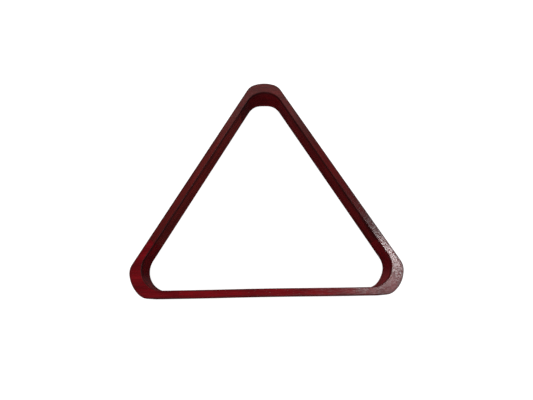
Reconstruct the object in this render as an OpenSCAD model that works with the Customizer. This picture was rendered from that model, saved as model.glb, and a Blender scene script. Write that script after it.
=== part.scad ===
// Triangle rack for billiard balls.
// Three straight wooden rails are glued between three solid corner blocks, and two
// dowels cross each of the six joints. The rack lies flat on the table: +Z is up and
// +Y points from the base rail to the apex.

/* [Balls] */
// Diameter of the balls that the rack gathers
ball_d = 57.15; // [50:0.05:61.5]
// Rows of balls in the pack
ball_rows = 5; // [4:1:6]
// Play between the outermost balls and each wall
ball_play = 0.9; // [0.2:0.1:3]

/* [Frame] */
// Thickness of the rails
rail_t = 9; // [8.5:0.5:12]
// Height of the frame
frame_h = 33; // [28:1:45]
// Bevel along the long edges of the frame
arris = 1; // [0.4:0.1:1.4]

/* [Corner blocks] */
// Radius of the opening in each corner
inner_r = 25.5; // [21:0.5:28]
// Thickness of a corner block round its crown
corner_t = 14.2; // [13:0.1:15]
// Width of the flat between a corner block's crown and each straight side
shoulder_w = 4; // [2:0.5:6]
// Straight stub of a corner block before it meets a rail
stub_l = 20; // [14:1:24]

/* [Dowels] */
// Diameter of the dowels
dowel_d = 5; // [4:0.5:5]
// Length of the dowels
dowel_l = 25; // [16:1:25]
// Distance between the centres of a joint's two dowels
dowel_pitch = 17; // [10:1:18]
// Room for glue round a dowel, on the radius
glue_gap = 0.05; // [0.02:0.01:0.1]

/* [Hidden] */
$fn = 96;

stain = "#6b161b";
beech = "#d9b98a";

// A rail is drawn along X below the triangle's centre, and a corner block above it.
// These turns about the centre carry them to their places.
turn_right_rail = 120;
turn_left_rail = -120;
turn_right_corner = -120;
turn_left_corner = 120;

// Distances from the triangle's centre to the walls
inner_apothem = (ball_rows - 1) * ball_d / (2 * sqrt(3)) + ball_d / 2 + ball_play;
outer_apothem = inner_apothem + rail_t;
middle_apothem = (inner_apothem + outer_apothem) / 2;

// Outline of the apex block. The crown shares its centre with the curve of the opening.
// It would meet a straight side at tip_angle from the block's middle, but a flat takes
// that tip off.
curve_y = 2 * (inner_apothem - inner_r);
curve_centre = [0, curve_y];
crown_r = inner_r + corner_t;
apex_y = curve_y + crown_r;
tip_angle = 60 - acos((inner_r + rail_t) / crown_r);
flat_angle = (60 + tip_angle) / 2;
flat_turn = flat_angle - tip_angle;
flat_out = crown_r * cos(flat_turn) - shoulder_w / 2 * tan(flat_turn);
flat_low = crown_r * sin(flat_turn) - shoulder_w / 2;
flat_high = flat_low + shoulder_w;

// Where a flat meets the straight side, along the right rail's line from the end of the
// inner curve
knee_run = shoulder_w / 2 / cos(flat_turn) - crown_r * sin(2 * flat_turn);

// The rails fill what the stubs of two corner blocks leave.
rail_l = 2 * (sqrt(3) * (inner_apothem - inner_r) - stub_l);

// The origin lies under the middle of the whole frame's box.
centre_y = (outer_apothem - apex_y) / 2;

// Where a curved bevel runs into a straight one, it is a hair finer and runs on a little
// under it, so that no two bars share a face.
curve_step = 0.02;
curve_lap = 0.5;

// How far the cutting shapes run past the wood
past = 1;

glue_end = 0.5;
hole_r = dowel_d / 2 + glue_gap;
hole_l = dowel_l + 2 * glue_end;
dowel_bevel = 0.6;
flutes = 12;
flute_r = 0.3;
level_lower = (frame_h - dowel_pitch) / 2;
level_upper = (frame_h + dowel_pitch) / 2;

// A point of the apex block on its right side: run lies along the right rail's line,
// and out is the distance from the triangle's centre to that line.
function side_point(run, out) =
    let (reach = out - inner_apothem + inner_r)
    [reach * cos(30) + run * sin(30), curve_y + reach * sin(30) - run * cos(30)];

// A point on the line of the right flat, at a distance along it towards the apex
function flat_point(along) =
    curve_centre
    + flat_out * [sin(flat_angle), cos(flat_angle)]
    + along * [-cos(flat_angle), sin(flat_angle)];

// The same points on the left side, in the opposite order
function mirrored(points) =
    [for (i = [len(points) - 1:-1:0]) [-points[i][0], points[i][1]]];

// Puts a piece that is drawn about the triangle's centre in its place.
module placed(turn = 0) {
    translate([0, centre_y, 0]) rotate([0, 0, turn]) children();
}

// Both sides of the apex block
module both_sides() {
    children();
    mirror([1, 0, 0]) children();
}

// Cross-section of a bar that cuts the bevel of an upper edge. The wood lies below it,
// towards -X on the outside of a block, where side is 1, and towards +X in its opening,
// where side is -1.
module bevel_section(depth, side) {
    reach = depth + past;
    polygon([[-side * reach, past], [side * past, past], [side * past, -reach]]);
}

// A bar along an edge of the right side, from its upper end to its lower end
module bevel_line(from, to, side) {
    way = to - from;
    translate([from[0], from[1], 0])
        rotate([90, 0, 90 + atan2(way[1], way[0])])
            linear_extrude(norm(way)) bevel_section(arris, side);
}

// A bar about the curve's centre, as far as half_angle on either side of the middle
module bevel_arc(r, half_angle, depth, side) {
    translate([0, curve_y, 0])
        rotate([0, 0, 90 - half_angle])
            rotate_extrude(angle = 2 * half_angle)
                translate([r, 0]) bevel_section(depth, side);
}

// Joint at one end of the base rail: end is 1 on the right and -1 on the left.
module at_joint(end, level) {
    translate([end * rail_l / 2, -middle_apothem, level]) rotate([0, 90, 0]) children();
}

module dowel_holes(end) {
    for (level = [level_lower, level_upper])
        at_joint(end, level) cylinder(r = hole_r, h = hole_l, center = true);
}

// A straight rail, bevelled along its four long edges and bored at both ends
module rail() {
    section = [
        [-outer_apothem, arris], [-outer_apothem + arris, 0],
        [-inner_apothem - arris, 0], [-inner_apothem, arris],
        [-inner_apothem, frame_h - arris], [-inner_apothem - arris, frame_h],
        [-outer_apothem + arris, frame_h], [-outer_apothem, frame_h - arris]
    ];
    color(stain) difference() {
        rotate([90, 0, 90]) linear_extrude(rail_l, center = true) polygon(section);
        for (end = [-1, 1]) dowel_holes(end);
    }
}

// Outside of the apex block, closed across the opening between its two stubs. It runs up
// to the point where the lines of the two flats meet.
module block_outside() {
    right = [
        side_point(stub_l, inner_apothem),
        side_point(stub_l, outer_apothem),
        flat_point(flat_low)
    ];
    summit = [0, curve_y + flat_out / cos(flat_angle)];
    polygon(concat(right, [summit], mirrored(right)));
}

// What lies beyond the crown, between the two tips. Three radii reach past the summit.
module beyond_crown() {
    edge = 3 * crown_r * [sin(tip_angle), cos(tip_angle)];
    translate(curve_centre) difference() {
        polygon([[0, 0], edge, [-edge[0], edge[1]]]);
        circle(crown_r);
    }
}

// The opening inside the apex block, which runs past the ends of the stubs
module block_opening() {
    end = stub_l + past;
    right = [side_point(end, inner_apothem), side_point(0, inner_apothem), curve_centre];
    polygon(concat(right, mirrored(right)));
    translate(curve_centre) circle(inner_r);
}

// Bars along every long upper edge of the apex block. On the outside they run past each
// other where they meet, which leaves a clean mitre.
module block_bevels() {
    end = stub_l + past;
    bevel_arc(crown_r, tip_angle, arris, 1);
    bevel_arc(inner_r, 60 + curve_lap, arris - curve_step, -1);
    both_sides() {
        bevel_line(flat_point(flat_high + past), flat_point(flat_low - past), 1);
        bevel_line(side_point(knee_run - past, outer_apothem), side_point(end, outer_apothem), 1);
        bevel_line(side_point(0, inner_apothem), side_point(end, inner_apothem), -1);
    }
}

// A solid corner block: two stubs about a round opening, with a round crown
module corner_block() {
    color(stain) difference() {
        linear_extrude(frame_h) difference() {
            block_outside();
            beyond_crown();
            block_opening();
        }
        translate([0, 0, frame_h]) block_bevels();
        mirror([0, 0, 1]) block_bevels();
        rotate([0, 0, turn_right_rail]) dowel_holes(1);
        rotate([0, 0, turn_left_rail]) dowel_holes(-1);
    }
}

// A fluted dowel with bevelled ends, about the middle of a joint
module dowel() {
    r = dowel_d / 2;
    half = dowel_l / 2;
    color(beech) difference() {
        rotate_extrude() polygon([
            [0, -half], [r - dowel_bevel, -half], [r, -half + dowel_bevel],
            [r, half - dowel_bevel], [r - dowel_bevel, half], [0, half]
        ]);
        for (i = [0:flutes - 1])
            rotate([0, 0, i * 360 / flutes])
                translate([r, 0, 0]) cylinder(r = flute_r, h = dowel_l + past, center = true);
    }
}

module joint_dowel(turn, end, level) {
    placed(turn) at_joint(end, level) dowel();
}

placed() rail();  // base_rail
placed(turn_left_rail) rail();  // left_rail
placed(turn_right_rail) rail();  // right_rail
placed() corner_block();  // apex_corner
placed(turn_left_corner) corner_block();  // left_corner
placed(turn_right_corner) corner_block();  // right_corner
joint_dowel(0, -1, level_upper);  // dowel_base_left_upper
joint_dowel(0, -1, level_lower);  // dowel_base_left_lower
joint_dowel(0, 1, level_upper);  // dowel_base_right_upper
joint_dowel(0, 1, level_lower);  // dowel_base_right_lower
joint_dowel(turn_left_rail, 1, level_upper);  // dowel_left_foot_upper
joint_dowel(turn_left_rail, 1, level_lower);  // dowel_left_foot_lower
joint_dowel(turn_left_rail, -1, level_upper);  // dowel_left_apex_upper
joint_dowel(turn_left_rail, -1, level_lower);  // dowel_left_apex_lower
joint_dowel(turn_right_rail, -1, level_upper);  // dowel_right_foot_upper
joint_dowel(turn_right_rail, -1, level_lower);  // dowel_right_foot_lower
joint_dowel(turn_right_rail, 1, level_upper);  // dowel_right_apex_upper
joint_dowel(turn_right_rail, 1, level_lower);  // dowel_right_apex_lower
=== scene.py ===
"""Looks of the triangle rack: three stained rails and three corner blocks, dowelled together.

Each wooden piece is swept along its own path with rounded, slightly hand-sanded edges and is
bored for its dowels. Its wood is stained, open-grained and lacquered.
"""

import math
from collections import namedtuple

import bmesh
import bpy
from mathutils import Matrix, Vector, noise


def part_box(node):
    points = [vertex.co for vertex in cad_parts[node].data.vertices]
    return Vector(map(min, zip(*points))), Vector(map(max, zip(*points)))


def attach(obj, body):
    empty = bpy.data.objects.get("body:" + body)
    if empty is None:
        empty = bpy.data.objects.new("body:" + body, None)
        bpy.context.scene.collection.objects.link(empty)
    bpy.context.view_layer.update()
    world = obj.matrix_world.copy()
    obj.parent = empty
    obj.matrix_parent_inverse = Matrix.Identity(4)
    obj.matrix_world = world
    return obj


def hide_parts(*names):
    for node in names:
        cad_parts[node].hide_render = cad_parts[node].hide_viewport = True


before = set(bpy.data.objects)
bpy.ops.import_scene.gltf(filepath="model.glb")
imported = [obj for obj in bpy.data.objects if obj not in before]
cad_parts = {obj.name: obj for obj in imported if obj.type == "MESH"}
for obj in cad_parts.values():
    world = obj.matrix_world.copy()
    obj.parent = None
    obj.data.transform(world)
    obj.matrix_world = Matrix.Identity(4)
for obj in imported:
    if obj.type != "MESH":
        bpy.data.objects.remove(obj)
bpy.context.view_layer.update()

# ---------------------------------------------------------------- sizes, in metres
INNER_R = 0.0255          # radius of the opening in each corner
SHOULDER_R = 0.018        # radius of the shoulders beside the crown of a corner block
STUB = 0.020              # straight stub of a corner block
ARRIS_R = 0.0007          # rounding along the long edges
JOINT_EASE = 0.00008      # bevel round the end of a piece, which shows as a hairline seam
SANDING = 0.00006         # how deep the hand sanding goes
SANDING_WAVE = 0.022      # length of one wave of it
BASE_BOW = 0.0004         # how far the middle of the base rail bows towards the opening
APEX_LEAN = 0.0017        # how far the opening's wall leans in at the foot of the apex block
RIGHT_LEAN = 0.0009       # how far it leans in at the foot of the right block
RIGHT_SWELL = 0.0005      # how much thicker the right block is at the middle of its crown
DOWEL_HOLE_R = 0.00255    # radius of a dowel hole, with room for glue
DOWEL_HOLE_DEPTH = 0.013
DRILL_TIP = 0.001         # how deep the cone at the bottom of a hole is
DOWEL_PITCH = 0.017       # distance between the two holes in the end of a piece

# How finely the pieces are meshed
RAIL_STEP = 0.0025        # distance between the rings of a straight stretch, in metres
ARC_STEPS = 60            # steps round the opening's corner
ARRIS_STEPS = 6           # facets across a rounded edge
TOP_STEPS = 4             # steps across the top
WALL_STEPS = 8            # steps up a wall
HOLE_SIDES = 24           # facets round a dowel hole

# The lean and the swell of a corner block fade from its middle as this power of a sine.
HUMP_POWER = 6

rail_low, rail_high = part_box("base_rail")
apex_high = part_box("apex_corner")[1]
HEIGHT = rail_high.z - rail_low.z
RAIL_T = rail_high.y - rail_low.y
RAIL_L = rail_high.x - rail_low.x

# Where the triangle's centre is, how far it is from the opening's walls, and the curves of the
# apex block about the centre of the opening's corner
INNER_APOTHEM = INNER_R + (RAIL_L / 2 + STUB) / math.sqrt(3)
CENTRE = Vector((0, rail_high.y + INNER_APOTHEM))
CURVE_CENTRE = Vector((0, 2 * (INNER_APOTHEM - INNER_R)))
CROWN_R = apex_high.y - CENTRE.y - CURVE_CENTRE.y
SIDE_DISTANCE = INNER_R + RAIL_T
SIDE_ANGLE = math.radians(60)
CROWN_HALF_ANGLE = SIDE_ANGLE - math.acos((SIDE_DISTANCE - SHOULDER_R) / (CROWN_R - SHOULDER_R))

# One ring of a piece: the ends of its section, each with the normal that points out of the wood,
# and how far the inner wall's foot leans into the opening
Station = namedtuple("Station", "inner inner_normal outer outer_normal lean", defaults=[0])


# ---------------------------------------------------------------- paths of the pieces
def compass(angle):
    """The flat direction at an angle from the apex, in radians, to the right."""
    return Vector((math.sin(angle), math.cos(angle)))


def turned(vector, angle):
    """A flat vector turned about the origin to the left, in radians."""
    c, s = math.cos(angle), math.sin(angle)
    return Vector((vector.x * c - vector.y * s, vector.x * s + vector.y * c))


def shares(count):
    """The ends of count equal steps from 0 to 1."""
    return [i / count for i in range(count + 1)]


def straight_stations(start, along, length, out):
    """Stations along a straight stretch of wall, from start on its inner edge."""
    stations = []
    for share in shares(round(length / RAIL_STEP)):
        inner = start + along * length * share
        stations.append(Station(inner, -out, inner + out * RAIL_T, out))
    return stations


def rail_stations(bow=0):
    """The base rail, from left to right, with its middle bowed towards the opening."""
    left_end = Vector((-RAIL_L / 2, -INNER_APOTHEM))
    bowed = []
    for station in straight_stations(left_end, Vector((1, 0)), RAIL_L, Vector((0, -1))):
        shift = Vector((0, bow * math.cos(math.pi * station.inner.x / RAIL_L) ** 2))
        bowed.append(station._replace(inner=station.inner + shift, outer=station.outer + shift))
    return bowed


def outside_of_apex(angle):
    """Where a ray from the curve's centre leaves the apex block, and the normal there: on the
    crown, on a shoulder or on a straight side."""
    ray = compass(abs(angle))
    shoulder = compass(CROWN_HALF_ANGLE) * (CROWN_R - SHOULDER_R)
    shoulder_end = shoulder + compass(SIDE_ANGLE) * SHOULDER_R
    if abs(angle) <= CROWN_HALF_ANGLE:
        point = ray * CROWN_R
        normal = ray
    elif abs(angle) >= math.atan2(shoulder_end.x, shoulder_end.y):
        point = ray * SIDE_DISTANCE / math.cos(SIDE_ANGLE - abs(angle))
        normal = compass(SIDE_ANGLE)
    else:
        nearest = ray.dot(shoulder)
        reach = nearest + math.sqrt(SHOULDER_R ** 2 - shoulder.length_squared + nearest ** 2)
        point = ray * reach
        normal = (point - shoulder).normalized()
    mirror = Vector((math.copysign(1, angle), 1))
    return point * mirror, normal * mirror


def corner_stations(lean=0, swell=0):
    """The apex block, from the end of its right stub to the end of its left stub. In the middle
    the hand-cut opening leans in at its foot and the crown swells out, by as much as asked."""
    right, left = compass(SIDE_ANGLE), compass(-SIDE_ANGLE)
    up, down = turned(right, math.pi / 2), turned(left, math.pi / 2)
    right_stub = straight_stations(CURVE_CENTRE + right * INNER_R - up * STUB, up, STUB, right)
    left_stub = straight_stations(CURVE_CENTRE + left * INNER_R, down, STUB, left)
    curve = []
    for share in shares(ARC_STEPS)[1:-1]:
        angle = SIDE_ANGLE * (1 - 2 * share)
        hump = math.sin(math.pi * share) ** HUMP_POWER
        ray = compass(angle)
        inner = CURVE_CENTRE + ray * INNER_R
        point, normal = outside_of_apex(angle)
        point += ray * swell * hump
        curve.append(Station(inner, -ray, CURVE_CENTRE + point, normal, lean * hump))
    return right_stub + curve + left_stub


# ---------------------------------------------------------------- sections and meshes
# How dark the colour is painted, from 0 to 1. On the inner edges, the first point across the top
# and the last points up the inner wall it is painted shade: the dark shadow line under the inner
# edge. On the outer edges and the last points across the top the colour is only darker. It's 0
# everywhere else.
INNER_EDGE_SHADE = 1                # on the rounded edges of the inner side
OUTER_EDGE_SHADE = 0.7              # on the rounded edges of the outer side
INNER_WALL_SHADES = [0.3, 0.9, 1]   # at the last points up the inner wall
TOP_INNER_SHADES = [0.6]            # at the first point across the top
TOP_OUTER_SHADES = [0.3, 0.7]       # at the last points across the top

# A narrow strip along each edge of a flat face keeps the shading of the face flat.
EDGE_STRIP = 0.05


def across_flat(count):
    """Shares of the way across a flat face, in count equal steps between its two edge strips."""
    return [0] + [EDGE_STRIP + (1 - 2 * EDGE_STRIP) * share for share in shares(count)] + [1]


def rounded_edge(side, top, angles):
    """The points round a long edge: side is 0 on the inner side and 1 on the outer side."""
    shade = (INNER_EDGE_SHADE, OUTER_EDGE_SHADE)[side]
    points = []
    for angle in angles:
        drop = ARRIS_R * (1 - math.cos(angle))
        z = HEIGHT - drop if top else drop
        points.append((side, ARRIS_R * (1 - math.sin(angle)), z, shade))
    return points


def section():
    """The points round a piece's section. Each is its share of the way from the inner edge to
    the outer edge, how far it stands in from that edge, its height and how dark its colour is
    painted there: painted shade at the inner edge, a darker colour at the outer edge."""
    angles = [math.pi / 2 * share for share in shares(ARRIS_STEPS)[1:-1]]
    back = list(reversed(angles))
    flat = across_flat(TOP_STEPS)
    wall = [ARRIS_R + (HEIGHT - 2 * ARRIS_R) * share for share in across_flat(WALL_STEPS)]
    plain_wall = [0] * (len(wall) - len(INNER_WALL_SHADES))
    plain_top = [0] * (len(flat) - len(TOP_INNER_SHADES + TOP_OUTER_SHADES))
    wall_shades = plain_wall + INNER_WALL_SHADES
    top_shades = TOP_INNER_SHADES + plain_top + TOP_OUTER_SHADES
    return (
        [(share, ARRIS_R, HEIGHT, shade) for share, shade in zip(flat, top_shades)]
        + rounded_edge(1, True, angles)
        + [(1, 0, z, 0) for z in reversed(wall)]
        + rounded_edge(1, False, back)
        + [(share, ARRIS_R, 0, 0) for share in reversed(flat)]
        + rounded_edge(0, False, angles)
        + [(0, 0, z, shade) for z, shade in zip(wall, wall_shades)]
        + rounded_edge(0, True, back)
    )


def sweep(mesh, stations):
    """Lays a ring of the section at each station and joins the rings. Returns the rings. Each
    point keeps how dark its colour is painted there, which is painted shade at the inner edge,
    and how far it is on the inner wall, from 0 to 1, where the material paints light."""
    arris = mesh.verts.layers.float.new("arris")
    inner_wall = mesh.verts.layers.float.new("inner_wall")
    points = section()
    rings = []
    for station in stations:
        ring = []
        for share, inset, z, shade in points:
            foot = station.lean * (1 - z / HEIGHT)
            inner = station.inner + station.inner_normal * (foot - inset)
            outer = station.outer - station.outer_normal * inset
            flat = inner.lerp(outer, share)
            vert = mesh.verts.new((flat.x, flat.y, z))
            vert[arris] = shade
            vert[inner_wall] = (1 - share) * (1 - inset / ARRIS_R)
            ring.append(vert)
        rings.append(ring)
    for ring, following in zip(rings, rings[1:]):
        bridge(mesh, ring, following)
    return rings


def bridge(mesh, ring, following):
    """Joins two closed rings of the same number of points with quads."""
    for i in range(len(ring)):
        mesh.faces.new((ring[i - 1], ring[i], following[i], following[i - 1]))


def loop_edges(mesh, ring):
    """The edges round a closed ring, made where there are none yet."""
    return [
        mesh.edges.get((ring[i - 1], ring[i])) or mesh.edges.new((ring[i - 1], ring[i]))
        for i in range(len(ring))
    ]


def sand(mesh):
    """Takes a little wood off everywhere, in slow waves, as hand sanding does."""
    mesh.normal_update()
    for vert in mesh.verts:
        depth = SANDING * (0.5 + 0.5 * noise.noise(vert.co / SANDING_WAVE))
        vert.co -= vert.normal * max(0, depth)


def hole_ring(mesh, centre, across):
    """A ring of points round the axis of a dowel hole."""
    ring = []
    for i in range(HOLE_SIDES):
        angle = 2 * math.pi * i / HOLE_SIDES
        rise = Vector((0, 0, DOWEL_HOLE_R * math.sin(angle)))
        ring.append(mesh.verts.new(centre + across * DOWEL_HOLE_R * math.cos(angle) + rise))
    return ring


def bore(mesh, mouth_centre, into, across):
    """A drilled hole with a conical bottom. Returns the ring of its mouth."""
    mouth = hole_ring(mesh, mouth_centre, across)
    bottom = hole_ring(mesh, mouth_centre + into * DOWEL_HOLE_DEPTH, across)
    bridge(mesh, mouth, bottom)
    tip = mesh.verts.new(mouth_centre + into * (DOWEL_HOLE_DEPTH + DRILL_TIP))
    for i in range(HOLE_SIDES):
        mesh.faces.new((bottom[i - 1], bottom[i], tip))
    return mouth


def close_end(mesh, ring, into):
    """Bevels the end of a piece, closes it with a flat face and bores it for two dowels."""
    centre = sum((vert.co for vert in ring), Vector()) / len(ring)
    across = into.cross(Vector((0, 0, 1)))
    shrink_across = 1 - 2 * JOINT_EASE / RAIL_T
    shrink_up = 1 - 2 * JOINT_EASE / HEIGHT
    shrink = Matrix.Diagonal((shrink_across, shrink_across, shrink_up))
    face = [mesh.verts.new(centre + shrink @ (vert.co - centre)) for vert in ring]
    for vert in ring:
        vert.co += into * JOINT_EASE
    bridge(mesh, ring, face)
    outlines = [face]
    for level in (-DOWEL_PITCH / 2, DOWEL_PITCH / 2):
        outlines.append(bore(mesh, centre + Vector((0, 0, level)), into, across))
    edges = [edge for outline in outlines for edge in loop_edges(mesh, outline)]
    bmesh.ops.triangle_fill(mesh, use_beauty=True, edges=edges)
    for edge in edges + loop_edges(mesh, ring):
        edge.smooth = False


def wooden_piece(name, node, stations, turn, material):
    """Builds a rail or a corner block about the triangle's centre and turns it into its place."""
    mesh = bmesh.new()
    rings = sweep(mesh, stations)
    place = Matrix.Translation(CENTRE.to_3d()) @ Matrix.Rotation(turn, 4, "Z")
    bmesh.ops.transform(mesh, matrix=place, verts=mesh.verts)
    sand(mesh)
    # The way into the wood lies along the piece, square to its outer side.
    for ring, station, sense in ((rings[0], stations[0], 1), (rings[-1], stations[-1], -1)):
        into = turned(station.outer_normal, math.pi / 2 + turn) * sense
        close_end(mesh, ring, into.to_3d())
    bmesh.ops.recalc_face_normals(mesh, faces=mesh.faces)
    for face in mesh.faces:
        face.smooth = True
    data = bpy.data.meshes.new(name)
    mesh.to_mesh(data)
    mesh.free()
    data.materials.append(material)
    piece = bpy.data.objects.new(name, data)
    bpy.context.scene.collection.objects.link(piece)
    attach(piece, "root")
    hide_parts(node)


# ---------------------------------------------------------------- materials
# Features of the wood and of its lacquer: length along the grain and width across it, in metres
BANDS = (0.120, 0.0050)
FIBRES = (0.030, 0.0009)
CLOUDS = (0.045, 0.0160)
PORES = (0.0045, 0.00045)
LACQUER = (0.0042, 0.0015)
RIPPLE = (0.0020, 0.0009)
BEECH_FIGURE = (0.0040, 0.0008)
BEECH_FLECKS = (0.0016, 0.0006)

# How high each feature stands, in metres
LACQUER_HEIGHT = 0.00010
RIPPLE_HEIGHT = 0.00006
FIBRE_HEIGHT = 0.00002
PORE_HEIGHT = -0.00003
BEECH_HEIGHT = 0.00008

# How rough the lacquer is at the bottom of its waves, and how much rougher at the top of them,
# in a pore and along the dark edges
LACQUER_ROUGHNESS = 0.155
WAVE_ROUGHER = 0.10
PORE_ROUGHER = 0.12
ARRIS_ROUGHER = 0.25
LACQUER_IOR = 1.5

# What the figure of the wood is made of
FIBRE_SHARE = 0.40
BAND_SHARE = 0.30
CLOUD_SHARE = 0.30

# The stain by the figure of the wood: the place on the ramp, the colour where the wood turned red
# and a browner colour that is partly a browner stain and partly painted sheen
STAIN_STOPS = [
    (0.34, (0.062, 0.0009, 0.0025), (0.062, 0.0068, 0.0060)),
    (0.50, (0.132, 0.0017, 0.0046), (0.132, 0.0140, 0.0120)),
    (0.66, (0.222, 0.0031, 0.0069), (0.222, 0.0216, 0.0175)),
]

# The dark colour: stain gathered in the pores, painted shade along the inner edges and down the
# top of the inner wall, and a darker colour along the outer edges. And how much of it shows in a
# pore and along the dark edges
DARK_STAIN_AND_SHADE = Vector((0.030, 0.0014, 0.0020))
PORE_STAIN = 0.35
EDGE_DARKENING_AND_SHADE = 0.75

# Bare beech: its colours by its figure, the colour of a fleck and how much of it shows, and how
# rough it is where the figure is lowest and how much rougher where it's highest
BEECH_STOPS = [(0.3, (0.42, 0.25, 0.12)), (0.7, (0.66, 0.46, 0.27))]
FLECK_COLOUR = (0.24, 0.12, 0.05, 1)
FLECK_SHARE = 0.5
BEECH_ROUGHNESS = 0.5
BEECH_ROUGHER = 0.2

# The pieces lie this far apart in the noise of the grain, in metres, and in this direction.
GRAIN_STEP = 0.31
GRAIN_WAY = (1, 0.7, 0.4)


def new_material(name):
    material = bpy.data.materials.new(name)
    material.use_nodes = True
    return material, material.node_tree, material.node_tree.nodes["Principled BSDF"]


def add_node(tree, kind, inputs=None, **settings):
    """Adds a shader node. An input is a value or the socket that feeds it."""
    made = tree.nodes.new("ShaderNode" + kind)
    for key, value in settings.items():
        setattr(made, key, value)
    for key, value in (inputs or {}).items():
        if isinstance(value, bpy.types.NodeSocket):
            tree.links.new(value, made.inputs[key])
        else:
            made.inputs[key].default_value = value
    return made


def maths(tree, operation, first, second=0.0, third=0.0):
    inputs = {0: first, 1: second, 2: third}
    return add_node(tree, "Math", inputs, operation=operation).outputs[0]


def weighted_sum(tree, start, terms):
    """Starts from a number and adds every value times its weight."""
    total = start
    for value, weight in terms:
        total = maths(tree, "MULTIPLY_ADD", value, weight, total)
    return total


def blended(tree, amount, first, second, way="MIX"):
    """Colour mix: inputs 6 and 7 are the two colours, and output 2 is the result."""
    mix = add_node(tree, "Mix", {0: amount, 6: first, 7: second}, data_type="RGBA", blend_type=way)
    return mix.outputs[2]


def ramp(tree, value, stops):
    """Colour ramp through (place, colour) stops."""
    made = add_node(tree, "ValToRGB", {0: value})
    elements = made.color_ramp.elements
    while len(elements) < len(stops):
        elements.new(0.5)
    for element, (place, colour) in zip(elements, stops):
        element.position = place
        element.color = (*colour, 1)
    return made.outputs[0]


def smooth_step(tree, value, low, high):
    """Rises smoothly from 0 at low to 1 at high. High may be the smaller of the two."""
    inputs = {"Value": value, "From Min": low, "From Max": high}
    return add_node(tree, "MapRange", inputs, interpolation_type="SMOOTHSTEP").outputs[0]


def grain_space(tree, direction, offset):
    """The part's own space turned so that X runs along the grain, and shifted so that no two
    pieces match."""
    place = add_node(tree, "TexCoord").outputs["Object"]
    along = add_node(tree, "Mapping", {"Vector": place, "Rotation": (0, 0, -direction)})
    shift = tuple(share * offset for share in GRAIN_WAY)
    return add_node(tree, "Mapping", {"Vector": along.outputs[0], "Location": shift}).outputs[0]


def stretched(tree, space, feature):
    """Space in which a feature is one unit long and wide."""
    length, width = feature
    scale = (1 / length, 1 / width, 1 / width)
    return add_node(tree, "Mapping", {"Vector": space, "Scale": scale}).outputs[0]


def streaks(tree, space, feature, detail=2.0):
    """Noise drawn out along the grain, with features of about that size."""
    inputs = {"Vector": stretched(tree, space, feature), "Scale": 1.0, "Detail": detail}
    return add_node(tree, "TexNoise", inputs).outputs[0]


def specks(tree, space, feature, edge, core):
    """Short marks along the grain. They fade from 1 in their core to 0 at their edge, both given
    as distances from a mark's middle in marks."""
    inputs = {"Vector": stretched(tree, space, feature), "Scale": 1.0}
    cells = add_node(tree, "TexVoronoi", inputs)
    return smooth_step(tree, cells.outputs["Distance"], edge, core)


def surface_attribute(tree, name):
    return add_node(tree, "Attribute", attribute_name=name).outputs["Fac"]


def stain_and_painted_light(tree, figure, pores, arris, stain):
    """Colour that follows the figure, and is dark in the pores and along the edges. Along the
    inner edges the dark is painted shade, the browner tint is partly painted sheen, and the inner
    wall is painted brighter, which is painted light.
    """
    stops = []
    # The browner colour is partly a browner stain and partly painted sheen, the hazy reflection of
    # the lights.
    for place, red, brown in STAIN_STOPS:
        shade = stain.tone * Vector(red).lerp(Vector(brown), stain.brown)
        stops.append((place, tuple(shade)))
    dark = (*(stain.tone * DARK_STAIN_AND_SHADE), 1)
    colour = ramp(tree, figure, stops)
    colour = blended(tree, maths(tree, "MULTIPLY", pores, PORE_STAIN), colour, dark)
    # Painted shade: the dark shadow line along the inner edge and down the top of the inner wall,
    # and a darker colour along the outer edges.
    colour = blended(tree, maths(tree, "MULTIPLY", arris, EDGE_DARKENING_AND_SHADE), colour, dark)
    # Painted light: the colour of the inner wall is multiplied to make it brighter, as if more
    # light fell on it.
    inner_wall = surface_attribute(tree, "inner_wall")
    return blended(tree, inner_wall, colour, (stain.inside,) * 3 + (1,), "MULTIPLY")


def stained_wood(name, grain, stain, offset):
    """Open-grained wood under a red mahogany stain and a semi-gloss lacquer, with painted shade
    along the inner edges, painted sheen, and painted light on the inner wall in its colour. The
    grain's direction is given from the X axis, in radians."""
    material, tree, shader = new_material(name)
    space = grain_space(tree, grain, offset)
    bands = streaks(tree, space, BANDS)
    fibres = streaks(tree, space, FIBRES, detail=3.0)
    clouds = streaks(tree, space, CLOUDS)
    pores = specks(tree, space, PORES, edge=0.40, core=0.16)
    lacquer = streaks(tree, space, LACQUER)
    ripple = streaks(tree, space, RIPPLE, detail=1.0)
    arris = surface_attribute(tree, "arris")
    figure = weighted_sum(tree, 0.0, [
        (fibres, FIBRE_SHARE),
        (bands, BAND_SHARE),
        (clouds, CLOUD_SHARE),
    ])
    roughness = weighted_sum(tree, LACQUER_ROUGHNESS, [
        (pores, PORE_ROUGHER),
        (lacquer, WAVE_ROUGHER),
        (arris, ARRIS_ROUGHER),
    ])
    height = weighted_sum(tree, 0.0, [
        (pores, PORE_HEIGHT),
        (lacquer, LACQUER_HEIGHT),
        (ripple, RIPPLE_HEIGHT),
        (fibres, FIBRE_HEIGHT),
    ])
    bump = add_node(tree, "Bump", {"Height": height, "Distance": 1.0, "Strength": 1.0})
    colour = stain_and_painted_light(tree, figure, pores, arris, stain)
    tree.links.new(colour, shader.inputs["Base Color"])
    tree.links.new(roughness, shader.inputs["Roughness"])
    tree.links.new(bump.outputs[0], shader.inputs["Normal"])
    shader.inputs["IOR"].default_value = LACQUER_IOR
    return material


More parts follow.
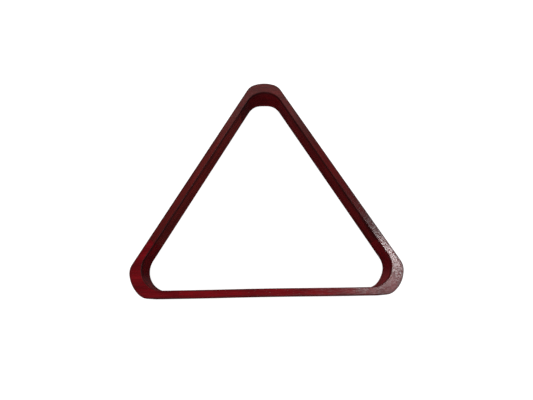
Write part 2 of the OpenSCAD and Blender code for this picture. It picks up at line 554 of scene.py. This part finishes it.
def dowel_wood():
    """Bare beech with short flecks along the dowel's turned surface."""
    material, tree, shader = new_material("dowel_beech")
    place = add_node(tree, "TexCoord").outputs["Object"]
    figure = streaks(tree, place, BEECH_FIGURE, detail=3.0)
    flecks = specks(tree, place, BEECH_FLECKS, edge=0.30, core=0.10)
    colour = ramp(tree, figure, BEECH_STOPS)
    colour = blended(tree, maths(tree, "MULTIPLY", flecks, FLECK_SHARE), colour, FLECK_COLOUR)
    roughness = weighted_sum(tree, BEECH_ROUGHNESS, [(figure, BEECH_ROUGHER)])
    bump = add_node(tree, "Bump", {"Height": figure, "Distance": BEECH_HEIGHT})
    tree.links.new(colour, shader.inputs["Base Color"])
    tree.links.new(roughness, shader.inputs["Roughness"])
    tree.links.new(bump.outputs[0], shader.inputs["Normal"])
    return material


# ---------------------------------------------------------------- the rack
# How each piece is coloured: how bright, partly from the stain it took and partly painted light
# for how the light falls along its grain; how many times brighter its inner wall is painted, which
# is painted light; and how far it turns from red to a browner colour that is partly a browner
# stain and partly painted sheen
StainAndLight = namedtuple("StainAndLight", "tone inside brown")

# A third of a turn to the left carries the base rail to the right rail and the apex block to the
# left corner. The left rail rises to the right by the slant, and the right rail falls by it.
TURN = math.radians(120)
SLANT = math.radians(60)

straight_rail = rail_stations()
bowed_rail = rail_stations(BASE_BOW)
plain_block = corner_stations()
apex_block = corner_stations(APEX_LEAN)
right_block = corner_stations(RIGHT_LEAN, RIGHT_SWELL)

# name, CAD node, path, turn about the centre, direction of the grain, stain with painted light
PIECES = [
    ("rail_base", "base_rail", bowed_rail, 0, 0, StainAndLight(0.91, 1.0, 0.03)),
    ("rail_right", "right_rail", straight_rail, TURN, -SLANT, StainAndLight(0.45, 1.25, 0.35)),
    ("rail_left", "left_rail", straight_rail, -TURN, SLANT, StainAndLight(0.51, 2.0, 0.75)),
    ("corner_apex", "apex_corner", apex_block, 0, 0, StainAndLight(0.49, 1.15, 0.10)),
    ("corner_left", "left_corner", plain_block, TURN, 0, StainAndLight(0.76, 1.25, 0.05)),
    ("corner_right", "right_corner", right_block, -TURN, -SLANT, StainAndLight(0.76, 1.1, 0.05)),
]
for index, (name, node, stations, turn, grain, stain) in enumerate(PIECES, start=1):
    wood = stained_wood(f"{name}_wood", grain, stain, GRAIN_STEP * index)
    wooden_piece(name, node, stations, turn, wood)

beech = dowel_wood()
for name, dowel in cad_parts.items():
    if name.startswith("dowel_"):
        dowel.data.materials.clear()
        dowel.data.materials.append(beech)


# ---------------------------------------------------------------- floor, light and camera
FLOOR_SIZE = 24.0
FLOOR_SHADE = 0.20
FLOOR_ROUGHNESS = 0.9
FLOOR_GLOW = 0.95
CAMERA_PLACE = Vector((-0.0057, -0.1516, 0.4459))
CAMERA_TARGET = Vector((0.0007, -0.0263, 0.0330))
CAMERA_ROLL = math.radians(2.0)
LENS = 23.5
SENSOR = 36.0
LIGHT_DISTANCE = 1.6
WARM = (1.0, 0.93, 0.84)
COOL = (0.97, 1.0, 1.0)

# The narrow lamp whose reflection lies on the right corner block
GLARE_DISTANCE = 1.2
GLARE_POINT = (0.1465, -0.0980, HEIGHT)

# The paler patch that the lacquer reflects: how pale it is, and where it begins and where it's
# full, by how far a reflected ray's direction leans down, to the back and to either side
PALE_PATCH = 0.034
PATCH_DOWN = (-0.2, -0.6)
PATCH_BACK = (0.20, 0.28)
PATCH_SIDE = (0.50, 0.30)


def pale_floor():
    """A pale floor that glows, so that its shadows stay faint. Only the camera sees it: it
    neither lights the rack nor shows in the lacquer."""
    data = bpy.data.meshes.new("floor")
    half = FLOOR_SIZE / 2
    outline = [(-half, -half, 0), (half, -half, 0), (half, half, 0), (-half, half, 0)]
    data.from_pydata(outline, [], [(0, 1, 2, 3)])
    floor = bpy.data.objects.new("floor", data)
    bpy.context.scene.collection.objects.link(floor)
    material, _, shader = new_material("floor_pale")
    shader.inputs["Base Color"].default_value = (FLOOR_SHADE,) * 3 + (1,)
    shader.inputs["Roughness"].default_value = FLOOR_ROUGHNESS
    shader.inputs["Specular IOR Level"].default_value = 0.0
    shader.inputs["Emission Color"].default_value = (1, 1, 1, 1)
    shader.inputs["Emission Strength"].default_value = FLOOR_GLOW
    data.materials.append(material)
    floor.visible_glossy = False
    floor.visible_diffuse = False
    floor.visible_shadow = False


def softbox(name, towards, size, power, glossy=False, colour=(1, 1, 1),
            distance=LIGHT_DISTANCE, target=(0, 0, 0)):
    """A round soft light that hangs off in a direction from its target and faces it."""
    data = bpy.data.lights.new(name, "AREA")
    data.shape = "DISK"
    data.size = size
    data.energy = power
    data.color = colour
    light = bpy.data.objects.new(name, data)
    direction = Vector(towards).normalized()
    light.location = Vector(target) + direction * distance
    light.rotation_euler = direction.to_track_quat("Z", "Y").to_euler()
    light.visible_glossy = glossy
    bpy.context.scene.collection.objects.link(light)


def surroundings(ambient, seen, reflected):
    """Even light from all round. The camera sees it as pale as the floor, and the lacquer
    reflects hardly any of it, apart from a paler patch of table behind the rack."""
    world = bpy.data.worlds.new("studio")
    world.use_nodes = True
    bpy.context.scene.world = world
    tree = world.node_tree
    background = tree.nodes["Background"]
    ray = add_node(tree, "LightPath").outputs
    direction = add_node(tree, "TexCoord").outputs["Generated"]
    way = add_node(tree, "SeparateXYZ", {0: direction}).outputs
    down = smooth_step(tree, way["Z"], *PATCH_DOWN)
    back = smooth_step(tree, way["Y"], *PATCH_BACK)
    side = smooth_step(tree, maths(tree, "ABSOLUTE", way["X"]), *PATCH_SIDE)
    patch = maths(tree, "MULTIPLY", maths(tree, "MULTIPLY", down, back), side)
    gloss = weighted_sum(tree, reflected - ambient, [(patch, PALE_PATCH)])
    level = weighted_sum(tree, ambient, [
        (ray["Is Camera Ray"], seen - ambient),
        (ray["Is Glossy Ray"], gloss),
    ])
    tree.links.new(level, background.inputs["Strength"])
    background.inputs["Color"].default_value = (1, 1, 1, 1)


def photo_camera():
    """The camera at the photograph's viewing angle."""
    data = bpy.data.cameras.new("camera")
    data.sensor_width = SENSOR
    data.lens = LENS
    data.clip_start = 0.01
    camera = bpy.data.objects.new("camera", data)
    look = (CAMERA_TARGET - CAMERA_PLACE).normalized()
    upright = look.to_track_quat("-Z", "Y").to_matrix().to_4x4()
    roll = Matrix.Rotation(-CAMERA_ROLL, 4, look)
    camera.matrix_world = Matrix.Translation(CAMERA_PLACE) @ roll @ upright
    bpy.context.scene.collection.objects.link(camera)
    bpy.context.scene.camera = camera


pale_floor()
photo_camera()
bpy.context.scene.view_settings.view_transform = "Standard"
softbox("key", (-0.26, 0.86, 0.40), size=1.2, power=32)
softbox("front", (-0.45, -0.85, 0.30), size=1.2, power=15)
softbox("sheen", (0.05, 0.74, 0.67), size=1.1, power=2.0, glossy=True, colour=WARM)
softbox("overhead", (0.0, 0.36, 0.93), size=0.9, power=0.14, glossy=True, colour=WARM)
softbox("glare", (0.330, 0.120, 0.936), size=0.08, power=2.35, glossy=True, colour=COOL,
        distance=GLARE_DISTANCE, target=GLARE_POINT)
surroundings(ambient=0.44, seen=1.0, reflected=0.006)
